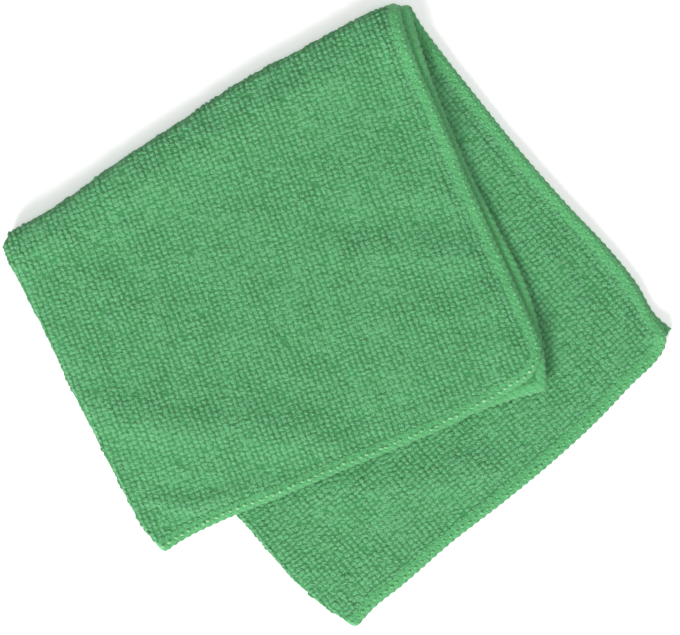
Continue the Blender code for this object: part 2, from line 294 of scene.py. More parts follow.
# %% The drop past the lower pair, and the lifted corners
DROP = 2 * PITCH
DROP_WIDTH = 34.0 * MM
TOP_HELD = 0.65
UPPER_LIFTS = (
    # (x, y, lift, reach) of the upper pair
    (95.8, -22.9, 3.6, 21.0),
    (36.0, 132.0, 2.2, 26.0),
)
SECOND_LIFTS = ((146.5, -8.5, 2.4, 5.0),)


def outside_lower_crease(points):
    """Distance beyond the lower crease: off its straight line, less its bow there."""
    start, run = edge_line("lower_crease")
    share = np.clip((points - start) @ run / (run @ run), 0.0, 1.0)
    out = np.array((run[1], -run[0])) / np.hypot(*run)
    return (points - start) @ out - edge_bow("lower_crease", share)


def lifts(points, table):
    """Round bells, each at its place."""
    total = np.zeros(len(points))
    for x, y, lift, reach in table:
        apart = np.linalg.norm(points - np.array((x, y)) * MM, axis=1)
        total += lift * MM * np.exp(-((apart / (reach * MM)) ** 2))
    return total


print("drop, mm:", round(DROP / MM, 2), "over", round(DROP_WIDTH / MM, 1))

# %% Ripples and the final height
CREST_BEND = 1.6
CREST_LENGTH = 2.3
RIPPLES = (
    # (angle of travel, wave length mm, height mm, start)
    (84.0, 13.0, 0.055, 0.3),
    (101.0, 18.5, 0.080, 2.1),
    (66.0, 26.0, 0.110, 4.0),
    (20.0, 15.0, 0.050, 1.2),
    (128.0, 11.0, 0.045, 5.2),
    (-15.0, 31.0, 0.100, 3.3),
)


def ripples(points):
    """Six faint waves that cross: each bends along its own crest, so none looks ruled."""
    total = np.zeros(len(points))
    for angle, length, height, start in RIPPLES:
        turn = np.radians(angle)
        way, crest = points @ (np.cos(turn), np.sin(turn)), points @ (-np.sin(turn), np.cos(turn))
        bend = CREST_BEND * np.sin(crest / (length * CREST_LENGTH * MM) + start)
        total += height * MM * np.sin(2 * np.pi * way / (length * MM) + start + bend)
    return total


# A cut edge sinks on to the layer under it, and the top one sinks this much more.
HEM_SETTLE = 0.5 * MM
TOP_SETTLE = 0.3 * MM
HEM_SETTLE_REACH = 8.0 * MM


def laid(flat, height, upper, inner, from_edge):
    """Height less the drop and the hems' settling, times the swell, plus the lift of the
    free corners. The fat crease holds the top layer up, so it drops less than the one
    below it, and a layer that lies on another sinks towards it at its cut edge."""
    outside = smooth(outside_lower_crease(flat) / DROP_WIDTH)
    on_another = 1 - (1 - upper) * (1 - inner)
    settle = HEM_SETTLE * on_another + TOP_SETTLE * upper * (1 - inner)
    settle = settle * np.exp(-((from_edge / HEM_SETTLE_REACH) ** 2))
    height = height - upper * DROP * (1 - TOP_HELD * (1 - inner)) * outside
    height = height - settle * (1 - outside)
    height = height * (1 + (swell(flat) + ripples(flat)) / STACK)
    return height + upper * lifts(flat, UPPER_LIFTS) + (1 - upper) * inner * lifts(flat, SECOND_LIFTS)


print("ripples:", len(RIPPLES))


# %% The folded sheet as one function
def sheet_points(place, turn, along, cross_turn, offset):
    """A point of the sheet. The crease turns it by an angle about its own axis, the cross
    fold turns the doubled strip about a second axis, and the four layers' patches count
    by how far each turn has gone. The offset is square to the middle of the sheet."""
    place, turn, along, cross_turn, offset = np.broadcast_arrays(
        place, turn, along, cross_turn, offset
    )
    from_edge = np.minimum(panel_width(turn) - place, panel_length(place, turn, cross_turn) - along)
    reach = place - (CREASE_RADIUS + offset) * np.cos(turn)
    radius = CROSS_RADIUS - (CREASE_RADIUS + offset) * np.sin(turn)
    along = along - radius * np.sin(cross_turn)
    height = AXIS_HEIGHT - radius * np.cos(cross_turn)
    upper, inner = (1 - np.cos(cross_turn)) / 2, (1 + np.sin(turn)) / 2
    flat = 0.0
    for name, (in_upper, is_inner, *_) in LAYERS.items():
        weight = (upper if in_upper else 1 - upper) * (inner if is_inner else 1 - inner)
        flat = flat + weight[:, None] * layer_point(name, reach, along)
    return np.column_stack([flat, laid(flat, height, upper, inner, from_edge)]) - MIDDLE


def panel_width(turn):
    """From the crease's edge to the side hem, a little less on the outer layers."""
    return chord_length("cross_fold") * np.where(turn < 0, OUTER_SHARE, 1.0)


def panel_length(place, turn, cross_turn):
    """From the cross fold's edge to the end hem, mixed between the crease and the side."""
    upper = cross_turn > np.pi / 2
    crease = np.where(upper, chord_length("upper_crease"), chord_length("lower_crease"))
    outer = np.where(upper, chord_length("top_side"), chord_length("second_side"))
    inner = np.where(upper, chord_length("third_side"), chord_length("second_side"))
    side = np.where(turn < 0, outer, inner)
    return crease + (side - crease) * place / chord_length("cross_fold")


def places_by_share(across, turn, along, cross_turn, inset):
    """Place, reach and distance to the cut edge, from shares of the panels: 0 at the fold,
    1 at the inset from the cut edge."""
    place = CREASE_CENTRE + across * (panel_width(turn) - inset - CREASE_CENTRE)
    length = panel_length(place, turn, cross_turn)
    reach = CROSS_CENTRE + along * (length - inset - CROSS_CENTRE)
    return place, reach, np.minimum(panel_width(turn) - place, length - reach)


def by_shares(across, turn, along, cross_turn, inset, offset):
    """The sheet's points by shares of its panels."""
    place, reach, _ = places_by_share(across, turn, along, cross_turn, inset)
    return sheet_points(place, turn, reach, cross_turn, offset)


print("side of a panel, mm:", np.round(panel_width(np.array((-1.0, 1.0))) / MM, 1).tolist())


# %% [markdown]
# ## From arrays to a mesh
#
# Every piece is worked out as whole arrays and handed to Blender once, which is far
# quicker than adding faces one by one. A piece's place is in its vertices, so its object
# stays at the origin.


# %% Mesh helpers
def grid_quads(rows, columns, close_rows=False, close_columns=False):
    """The four corners of each cell of a grid, whose last row or column may meet the first."""
    row = np.arange(rows if close_rows else rows - 1)
    column = np.arange(columns if close_columns else columns - 1)
    row, column = (part.ravel() for part in np.meshgrid(row, column, indexing="ij"))
    next_row, next_column = (row + 1) % rows, (column + 1) % columns
    corners = (row * columns + column, row * columns + next_column)
    far = (next_row * columns + next_column, next_row * columns + column)
    return np.stack([*corners, *far], axis=1)


def new_object(name, data):
    """An object at the origin, put into the scene."""
    made = bpy.data.objects.new(name, data)
    bpy.context.scene.collection.objects.link(made)
    return made


def make_piece(name, points, faces, material):
    """A mesh object from points and lists of faces, smooth and riding on the root."""
    mesh = bpy.data.meshes.new(name)
    mesh.from_pydata(points.tolist(), [], [face for group in faces for face in group.tolist()])
    mesh.shade_smooth()
    mesh.materials.append(material)
    piece = new_object(name, mesh)
    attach(piece, "root")
    triangles = sum(len(face.vertices) - 2 for face in mesh.polygons)
    print(name, "has", triangles, "triangles")
    return piece


def copied_faces(parts, count, size):
    """A small form's faces once for each copy, where each copy has this many points."""
    starts = (np.arange(count) * size)[:, None, None]
    return [(starts + part[None]).reshape(-1, part.shape[1]) for part in parts]


def point_values(piece, name, values):
    """One number for each vertex, which a material can read."""
    piece.data.attributes.new(name, "FLOAT", "POINT").data.foreach_set("value", values)


def corner_map(piece, name, places):
    """A flat map with one place for each corner of each face, in the order of the faces."""
    piece.data.uv_layers.new(name=name).data.foreach_set("uv", np.ascontiguousarray(places).ravel())


print("a grid of 3 by 4 points has", len(grid_quads(3, 4)), "faces")


# %% [markdown]
# ## Shader maths
#
# Nodes could be added one by one, but a pattern has dozens of them. A small class wraps
# a socket, so that a pattern reads like a formula.


# %% Shader helpers
def set_inputs(node, values):
    """Plain values for a node's sockets, by name."""
    for name, value in values.items():
        node.inputs[name].default_value = value


class Wire:
    """A number in a node tree: arithmetic on it adds Math nodes."""

    def __init__(self, tree, socket):
        self.tree, self.socket = tree, socket

    def maths(self, operation, first, second):
        node = self.tree.nodes.new("ShaderNodeMath")
        node.operation = operation
        for slot, value in zip(node.inputs, (first, second)):
            if isinstance(value, Wire):
                self.tree.links.new(value.socket, slot)
            else:
                slot.default_value = value
        return Wire(self.tree, node.outputs[0])

    def __add__(self, other):
        return self.maths("ADD", self, other)

    def __sub__(self, other):
        return self.maths("SUBTRACT", self, other)

    def __mul__(self, other):
        return self.maths("MULTIPLY", self, other)

    def __pow__(self, other):
        return self.maths("POWER", self, other)

    def __rsub__(self, other):
        return self.maths("SUBTRACT", other, self)

    __radd__ = __add__
    __rmul__ = __mul__


class Finish:
    """A material under way, with one method for any node."""

    def __init__(self, name, roughness, sheen):
        self.material = bpy.data.materials.new(name)
        self.material.use_nodes = True
        self.tree = self.material.node_tree
        self.shader = self.tree.nodes["Principled BSDF"]
        set_inputs(self.shader, {"Roughness": roughness, "Specular IOR Level": 0.25})
        set_inputs(self.shader, {"Sheen Weight": sheen, "Sheen Roughness": 0.5})

    def node(self, kind, settings=None, **sockets):
        """A node of this kind: its settings first, then values or links by socket name."""
        made = self.tree.nodes.new(kind)
        for name, value in (settings or {}).items():
            setattr(made, name, value)
        for name, value in sockets.items():
            slot = made.inputs[name.replace("_", " ")]
            self.feed(slot, value)
        return made

    def feed(self, slot, value):
        if isinstance(value, Wire):
            self.tree.links.new(value.socket, slot)
        elif isinstance(value, bpy.types.NodeSocket):
            self.tree.links.new(value, slot)
        else:
            slot.default_value = value

    def wire(self, socket):
        return Wire(self.tree, socket)

    def attribute(self, name):
        return self.wire(self.node("ShaderNodeAttribute", {"attribute_name": name}).outputs["Fac"])

    def noise_at(self, where, scale, detail=2.0):
        made = self.node("ShaderNodeTexNoise", Vector=where, Scale=scale, Detail=detail)
        return self.wire(made.outputs["Fac"])

    def noise(self, size, detail=2.0):
        """Noise whose lumps are about this size in metres, on Object coordinates."""
        return self.noise_at(self.node("ShaderNodeTexCoord").outputs["Object"], 1 / size, detail)

    def map_of(self, name):
        """The two numbers of a piece's own flat map."""
        flat_map = self.node("ShaderNodeUVMap", {"uv_map": name}).outputs["UV"]
        parts = self.node("ShaderNodeSeparateXYZ", Vector=flat_map)
        return self.wire(parts.outputs["X"]), self.wire(parts.outputs["Y"])

    def vector(self, x, y, z):
        return self.node("ShaderNodeCombineXYZ", X=x, Y=y, Z=z).outputs["Vector"]

    def sine(self, angle):
        return angle.maths("SINE", angle, 0.0)

    def fraction(self, value):
        return value.maths("FRACT", value, 0.0)

    def mix(self, factor, first, second):
        made = self.node("ShaderNodeMix", {"data_type": "RGBA", "clamp_factor": True})
        self.feed(made.inputs[0], factor)
        self.feed(made.inputs[6], first)
        self.feed(made.inputs[7], second)
        return made.outputs[2]

    def paint(self, colour):
        self.feed(self.shader.inputs["Base Color"], colour)

    def bump(self, height, distance):
        made = self.node("ShaderNodeBump", Height=height, Distance=distance)
        self.feed(self.shader.inputs["Normal"], made.outputs["Normal"])


print("shader helpers ready")

# %% [markdown]
# ## The finishes
#
# Split polyester fibre looks matt from afar and a little silky near to. Light that gets
# between the nubs bounces from green to green and deepens the gaps' green, and the nubs'
# bases are painted deeper as well, as painted shade, and their tips lighter, as painted highlight.
# A photograph could be laid on, but noise has no seam and stays sharp when seen close.

# %% Terry and ground finishes
# The deep green is random tone together with painted shade at the nubs' bases and on the rolls'
# sides; the tip green is a painted highlight.
DEEP_TONE_AND_SHADE_GREEN = (0.073, 0.390, 0.127, 1.0)
TERRY_GREEN = (0.122, 0.505, 0.200, 1.0)
TIP_HIGHLIGHT_GREEN = (0.218, 0.665, 0.308, 1.0)
# The ground's two greens are darker than the nubs' as painted shade in the gaps between them; the
# noise between them is the knit's own unevenness.
GROUND_SHADE_DEEP = (0.050, 0.275, 0.087, 1.0)
GROUND_SHADE_GREEN = (0.086, 0.385, 0.135, 1.0)


def terry_finish():
    """Strands run up each nub: noise that is fine round the dome and long up it. Each nub is
    painted deeper at its base, as painted shade, and lighter on its upper part, as painted highlight.
    """
    finish = Finish("terry_fibre", 0.85, 0.35)
    tone, tip = finish.attribute("tone"), finish.attribute("tip")
    round_way, up_way = finish.map_of("strands")
    strand = finish.noise_at(finish.vector(round_way * 1.7, up_way * 1.4, tone * 60.0), 1.0)
    fibre = finish.noise(0.5 * MM)
    speck, soft = finish.noise(0.9 * MM, 3.0), finish.noise(14 * MM)
    # Painted shade: the lower a point on a nub, the deeper its green, over the random tone.
    shade = tip * 0.6 + speck * 4.6 + fibre * 1.8 + tone * 0.7 + soft * 0.5 - 3.6
    body = finish.mix(shade, DEEP_TONE_AND_SHADE_GREEN, TERRY_GREEN)
    # Painted highlight: the upper part of each nub is lighter along its strands.
    light = (tip - 0.45) * (strand * 2.4 + fibre * 1.6 - 1.0)
    finish.paint(finish.mix(light, body, TIP_HIGHLIGHT_GREEN))
    finish.bump(strand * 0.4 + fibre * 0.6 + speck * 0.9, 1.5 * MM)
    return finish.material


def ground_finish():
    """Plain knit, a little uneven, and painted deeper green than the nubs, as painted shade
    in the gaps between them.
    """
    finish = Finish("knit_ground", 0.9, 0.2)
    fibre = finish.noise(0.8 * MM, 4.0)
    finish.paint(finish.mix(fibre, GROUND_SHADE_DEEP, GROUND_SHADE_GREEN))
    finish.bump(fibre, 1.2 * MM)
    return finish.material


terry, ground = terry_finish(), ground_finish()
print("finishes:", terry.name, ground.name)

# %% Seam finishes
HEM_DEEP = (0.083, 0.405, 0.138, 1.0)
HEM_GREEN = (0.138, 0.545, 0.202, 1.0)
# The edge green is painted shade along the cut edge, and the hole green is painted shade in the
# needle holes.
EDGE_SHADE_GREEN = (0.035, 0.215, 0.070, 1.0)
HOLE_SHADE_GREEN = (0.030, 0.200, 0.060, 1.0)
YARNS = 5
THREAD_SIDES = 8
THREAD_GREEN = (0.110, 0.455, 0.170, 1.0)
THREAD_PALE = (0.345, 0.690, 0.370, 1.0)


def hem_finish():
    """Soft yarn wraps across the band. It is painted darker towards the cut edge, as painted
    shade, and a painted dark needle hole, the shade in the hole, shows once a stitch."""
    finish = Finish("overlock_yarn", 0.75, 0.35)
    stitch, inset = finish.attribute("stitch"), finish.attribute("inset")
    fibre, soft = finish.noise(0.55 * MM, 3.0), finish.noise(2.4 * MM)
    wraps = finish.sine((stitch + inset * 0.05 + soft * 0.12) * (2 * np.pi * YARNS)) * 0.5 + 0.5
    place = finish.fraction(stitch) - 0.5
    hole = 1.0 - (place * 6.0) ** 2.0 - ((inset - 5.6) * 2.4) ** 2.0
    edge = 1.0 - inset * 1.1 + (fibre - 0.5) * 1.5
    colour = finish.mix(fibre * 5.8 + soft * 0.9 + wraps * 0.15 - 2.65, HEM_DEEP, HEM_GREEN)
    # Painted shade: darker towards the cut edge, and dark in each needle hole.
    colour = finish.mix(edge * 0.3, colour, EDGE_SHADE_GREEN)
    finish.paint(finish.mix(hole * 2.2, colour, HOLE_SHADE_GREEN))
    finish.bump(wraps * 0.08 + fibre * 1.1 + soft * 0.6, 0.9 * MM)
    return finish.material


def thread_finish():
    """The pale thread: some stitches are greener than others."""
    finish = Finish("seam_thread", 0.55, 0.3)
    tone, fibre = finish.attribute("tone"), finish.noise(0.3 * MM)
    along, round_way = finish.map_of("twist")
    twist = finish.sine(along * 2.2 + round_way * (4 * np.pi / THREAD_SIDES)) * 0.5 + 0.5
    pale = tone * 0.8 + fibre * 0.4 + twist * 0.2 - 0.3
    finish.paint(finish.mix(pale, THREAD_GREEN, THREAD_PALE))
    finish.bump(twist * 0.7 + fibre * 0.3, 0.25 * MM)
    return finish.material


hem_yarn, thread = hem_finish(), thread_finish()
print("finishes:", hem_yarn.name, thread.name)

# %% [markdown]
# ## The ground sheet
#
# The knitted ground is one thin closed sheet on all the folds. It is a grid of stations
# over the crease one way and over the cross fold the other way, once for each face, and
# its two faces meet at the cut edge. Solidify could thicken one grid, but here each face
# has its own heights.

# %% Stations over the two folds
PANEL_STEPS = 80
CREASE_TURNS = 14
LOWER_STEPS = 96
UPPER_STEPS = 80
CROSS_TURNS = 22
HEM_CROWDING = 1.6


def over_fold(first_steps, turns, second_steps, first_turn, last_turn):
    """Shares 1 to 0, then the turn at share 0, then shares 0 to 1."""
    down = np.linspace(1, 0, first_steps + 1)[:-1]
    up = np.linspace(0, 1, second_steps + 1)[1:]
    angles = np.linspace(first_turn, last_turn, turns + 1)
    share = np.concatenate([down, np.zeros(len(angles)), up])
    first, last = np.full(len(down), first_turn), np.full(len(up), last_turn)
    return share, np.concatenate([first, angles, last])


def closer_by_hem(share):
    """Stations that draw together towards the cut edge, where the face has its steps."""
    return 1 - (1 - share) ** HEM_CROWDING


across_share, across_turn = over_fold(PANEL_STEPS, CREASE_TURNS, PANEL_STEPS, -np.pi / 2, np.pi / 2)
along_share, along_turn = over_fold(LOWER_STEPS, CROSS_TURNS, UPPER_STEPS, 0.0, np.pi)
across_share, along_share = closer_by_hem(across_share), closer_by_hem(along_share)
print("ground grid:", len(along_share), "by", len(across_share))

# %% The ground sheet's mesh
GROUND_EDGE = 0.8 * MM
TERRY_FLOOR = 0.42 * MM
FULL_FACE = 0.97 * MM
HEM_CORE = 0.30 * MM
HEM_DIP = 0.32 * MM
HEM_DIP_INSET = 8.6 * MM
HEM_DIP_WIDTH = 2.6 * MM
HEM_STEP = 4.8 * MM
HEM_STEP_WIDTH = 1.6 * MM
# How steeply the nubs' low floor begins round a roll, and ends past the cross fold
ROLL_END = 40
FOLD_END = 30


def floor_height(inset):
    """The nubs' floor over the middle of the sheet: the seam pulls a soft trough inside it."""
    return TERRY_FLOOR - HEM_DIP * np.exp(-(((inset - HEM_DIP_INSET) / HEM_DIP_WIDTH) ** 2))


def ground_face(side):
    """One face: the nubs stand on a lower floor, and bare or hidden faces have full height."""
    rows, columns = len(along_share), len(across_share)
    along, cross = np.repeat(along_share, columns), np.repeat(along_turn, columns)
    across, turn = np.tile(across_share, rows), np.tile(across_turn, rows)
    place, reach, size = places_by_share(across, turn, along, cross, GROUND_EDGE)
    upper, inner = (1 - np.cos(cross)) / 2, (1 + np.sin(turn)) / 2
    tufted = np.maximum(upper * np.clip((1 - inner) * ROLL_END, 0, 1), (1 - upper) * inner)
    tufted = np.maximum(tufted, (1 - upper) * np.clip(inner * ROLL_END, 0, 1))
    tufted = np.maximum(tufted, np.clip(2 - along * FOLD_END, 0, 1) * (1 - inner))
    face = FULL_FACE + (floor_height(size) - FULL_FACE) * (tufted if side > 0 else 0)
    off_hem = smooth((size - HEM_STEP) / HEM_STEP_WIDTH)
    offset = side * (HEM_CORE + (face - HEM_CORE) * off_hem)
    return sheet_points(place, turn, reach, cross, offset)


def rim_quads(rows, columns):
    """The cut edge, which joins the two faces all the way round."""
    last_row = (rows - 1) * columns
    loop = np.concatenate(
        [
            np.arange(columns - 1),
            np.arange(rows - 1) * columns + columns - 1,
            last_row + np.arange(columns - 1, 0, -1),
            np.arange(rows - 1, 0, -1) * columns,
        ]
    )
    ahead, other = np.roll(loop, -1), rows * columns
    return np.stack([ahead, loop, loop + other, ahead + other], axis=1)


rows, columns = len(along_share), len(across_share)
quads = grid_quads(rows, columns)
ground_points = np.concatenate([ground_face(1), ground_face(-1)])
ground_faces = [quads, quads[:, ::-1] + rows * columns, rim_quads(rows, columns)]
cloth_ground = make_piece("cloth_ground", ground_points, ground_faces, ground)
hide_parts("cloth")

# %% [markdown]
# ## Where the nubs stand
#
# The knit is even, so the nubs stand on a plain lattice that runs across a whole panel,
# a few degrees askew to its folds. Where the cloth turns over a fold, the lattice is
# carried round the roll by its own length, as real cloth is. Scattering the nubs would be
# easier, but would lose the rows that show on such a cloth.

# %% The weave's two lattices
WEAVES = {
    # layer: (along pitch mm, along angle, across pitch mm, across angle), as seen from above
    "top": (2.18, -69.0, 2.57, 22.5),
    "second": (2.23, -51.0, 2.64, 39.0),
}
NEWTON_STEPS = 6
LONGEST_STEP = 20 * MM
STEP = 0.02 * MM


def directions(name):
    """A lattice's two pitches and its two unit directions."""
    along, along_angle, across, across_angle = WEAVES[name]
    angles = np.radians((along_angle, across_angle))
    return np.array((along, across)) * MM, np.stack([np.cos(angles), np.sin(angles)], axis=1)


def slopes(name, x, y):
    """How a layer's place changes with its reach across and along."""
    here = layer_point(name, x, y)
    by_x = (layer_point(name, x + STEP, y) - here) / STEP
    by_y = (layer_point(name, x, y + STEP) - here) / STEP
    return here, by_x, by_y


def solve(first, second, wanted):
    """The two numbers that make first and second add up to wanted."""
    area = first[:, 0] * second[:, 1] - first[:, 1] * second[:, 0]
    a = (wanted[:, 0] * second[:, 1] - wanted[:, 1] * second[:, 0]) / area
    return a, (first[:, 0] * wanted[:, 1] - first[:, 1] * wanted[:, 0]) / area


def reach_of(name, places):
    """The reach across and along of places on a layer, by Newton's steps on its patch."""
    crease = LAYERS[name][2]
    start = edge_point(crease, 0.0)
    x_way = (edge_point("cross_fold", 1.0) - start) / chord_length("cross_fold")
    y_way = (edge_point(crease, 1.0) - start) / chord_length(crease)
    count = (len(places), 1)
    x, y = solve(np.tile(x_way, count), np.tile(y_way, count), places - start)
    for _ in range(NEWTON_STEPS):
        here, by_x, by_y = slopes(name, x, y)
        dx, dy = solve(by_x, by_y, places - here)
        x = x + np.clip(dx, -LONGEST_STEP, LONGEST_STEP)
        y = y + np.clip(dy, -LONGEST_STEP, LONGEST_STEP)
    return x, y


print("pitches, mm:", (directions("top")[0] / MM).tolist())

# %% Round the rolls by reach
CREASE_ROLL = CREASE_RADIUS + THICKNESS / 2
CROSS_ROLL = CROSS_RADIUS + CREASE_ROLL


def on_layer(name, x, y, offset):
    """A layer's upper face by its reach, carried round the rolls where it is short."""
    in_upper, inner = LAYERS[name][:2]
    bend = np.clip((CREASE_CENTRE - x) / CREASE_ROLL, 0, np.pi)
    turn = (np.pi / 2 - bend) * (1 if inner else -1)
    bend = np.clip((CROSS_CENTRE - y) / CROSS_ROLL, 0, np.pi)
    cross_turn = np.pi - bend if in_upper else bend
    place, along = np.maximum(x, CREASE_CENTRE), np.maximum(y, CROSS_CENTRE)
    return sheet_points(place, turn, along, cross_turn, offset)


print("outer girth of the rolls, mm:", np.round(np.pi * np.array((CREASE_ROLL, CROSS_ROLL)) / MM, 1))

# %% The nubs on the top layer
# Nubs each way from the middle of a panel, how far a row drifts, and how far a nub strays
ALONG_COUNT, ACROSS_COUNT = 70, 60
DRIFT = 0.35 * MM
STRAY = 0.17 * MM


def lattice(name, seed):
    """Lattice places over a layer's panel, each a little out of line, and their reaches."""
    pitch, way = directions(name)
    crease_run = edge_point(LAYERS[name][2], 1.0) - edge_point("cross_fold", 0.0)
    middle = edge_point("cross_fold", 0.5) + crease_run / 2
    counts = (np.arange(-count, count + 1) for count in (ALONG_COUNT, ACROSS_COUNT))
    i, j = (part.ravel() for part in np.meshgrid(*counts, indexing="ij"))
    rng = np.random.default_rng(seed)
    drift = DRIFT * np.sin(j * 2.1 + 1.3 * np.sin(j * 0.71))
    places = middle + (i * pitch[0] + drift)[:, None] * way[0] + (j * pitch[1])[:, None] * way[1]
    places = places + rng.normal(0, STRAY, places.shape)
    x, y = reach_of(name, places)
    return x, y, rng


# Nubs go this far round a roll, in radians
ROUND_ROLL = 3.0
TERRY_EDGE = 4.7 * MM
TERRY_RAGGED = 0.45 * MM


def hem_inset(name, x, y):
    """How far in from the nearer cut edge of its panel a place is."""
    in_upper, inner = LAYERS[name][:2]
    turn = np.full(len(x), 1.0 if inner else -1.0)
    cross_turn = np.full(len(x), np.pi if in_upper else 0.0)
    return np.minimum(panel_width(turn) - x, panel_length(x, turn, cross_turn) - y)


def nub_places(name, seed, round_cross_fold):
    """The lattice's places from some way round the rolls to the seam's ragged edge."""
    x, y, rng = lattice(name, seed)
    kept = x > CREASE_CENTRE - ROUND_ROLL * CREASE_ROLL
    kept &= y > CROSS_CENTRE - round_cross_fold * CROSS_ROLL
    kept &= hem_inset(name, x, y) > TERRY_EDGE + rng.normal(0, TERRY_RAGGED, len(x))
    return x[kept], y[kept]


top_x, top_y = nub_places("top", 5, ROUND_ROLL)
print("nubs on the top layer:", len(top_x))

# %% The nubs on the lower pair, where they show
COVER_MARGIN = 14 * MM
x, y = nub_places("second", 6, 0.0)
over_x, over_y = reach_of("third", layer_point("second", x, y))
covered = (over_x > COVER_MARGIN) & (hem_inset("third", over_x, over_y) > COVER_MARGIN)
second_x, second_y = x[~covered], y[~covered]
print("nubs on the second layer:", len(second_x))

# %% [markdown]
# ## One nub, thousands of times
#
# A nub is a loop of split fibre that has bloomed into a low dome: a base ring, a shoulder
# ring and a tip. Only its place, size, turn and lean change, so one small form times
# arrays of frames gives the whole face at once, where loops of hair would be too heavy.
# A flat map runs round the dome and up it, and the finish draws fine strands along it.

# %% The nub's form, as shares of its half sizes and its height
SIDES = 8
ODD_REACH = 0.96
SHOULDER_REACH = 0.72
SHOULDER_HEIGHT = 0.68
SHOULDER_ON_MAP = 0.60
at = np.arange(SIDES)
ring = 2 * np.pi / SIDES * at
reach = np.where(at % 2, ODD_REACH, 1.0)
base = np.stack([reach * np.cos(ring), reach * np.sin(ring), np.zeros(SIDES)], axis=1)
shoulder = base * SHOULDER_REACH + (0.0, 0.0, SHOULDER_HEIGHT)
NUB = np.concatenate([base, shoulder, [(0.0, 0.0, 1.0)]])
ahead = (at + 1) % SIDES
NUB_BASE = at[::-1][None, :]
NUB_SIDES = np.stack([at, ahead, SIDES + ahead, SIDES + at], axis=1)
NUB_TOP = np.stack([SIDES + at, SIDES + ahead, np.full(SIDES, 2 * SIDES)], axis=1)
level = np.full(SIDES, SHOULDER_ON_MAP)
MAP_BASE = np.zeros((SIDES, 2))
MAP_SIDES = np.stack([at, 0 * at, at + 1, 0 * at, at + 1, level, at, level], axis=1).reshape(-1, 2)
MAP_TOP = np.stack([at, level, at + 1, level, at + 0.5, 0 * at + 1], axis=1).reshape(-1, 2)


def unit(vectors):
    """Each vector divided by its length."""
    return vectors / np.linalg.norm(vectors, axis=-1, keepdims=True)


print("one nub has", len(NUB), "points")

# %% Sizes of the nubs, and how uneven they are
SUNK = 0.19 * MM
NUB_HEIGHT = 0.47 * MM
NUB_SPREADS = {"top": (0.68, 0.62), "second": (0.59, 0.73)}
# By the seam the nubs are lower, and grow to their full height from an inset over a width
LOW_BY_HEM = 0.75
LOW_INSET = 5.5 * MM
LOW_WIDTH = 3.0 * MM
# How unevenly the nubs turn, spread, stand, are formed and lean
UNEVEN_TURN = 0.14
UNEVEN_SPREAD = 0.14
UNEVEN_HEIGHT = 0.20
UNEVEN_FORM = 0.10
UNEVEN_LEAN = 0.24
# On the rolls the pile opens in lumps, and its sides get painted shade: darker, with a
# weaker painted highlight.
ROLL_BLOOM = 0.35
ROLL_LUMP = 1.0
ROLL_WAVE = 2.1 * MM
ROLL_SHADE = 1.3
ROLL_SHADE_DULLING = 0.45
RIM_START = 0.45
RIM_WIDTH = 0.4
# Open pile is this much narrower along and across, and taller by the second of the two.
# Matted pile is the other way about.
OPENNESS = (0.04, 0.16)


def outward(x, y):
    """How far a place faces sideways on a roll: 0 on the flat, 1 on the outermost line."""
    bends = (CREASE_CENTRE - x) / CREASE_ROLL, (CROSS_CENTRE - y) / CROSS_ROLL
    return np.maximum(*(np.sin(np.clip(bend, 0, np.pi)) for bend in bends))


def openness(x, y):
    """Blotches about 2 cm long, from -1 where the pile is matted to 1 where it stands open:
    a sine of one reach, bent by a sine of the other, times its like the other way round."""
    first = np.sin(x / (6.3 * MM) + 2.2 * np.sin(y / (14.0 * MM)) + 0.9 * np.sin(x / (23.0 * MM)))
    second = np.sin(y / (9.7 * MM) + 2.0 * np.sin(x / (11.0 * MM) + 1.0))
    return first * second


print("most open by, %:", [round(100 * share) for share in OPENNESS])


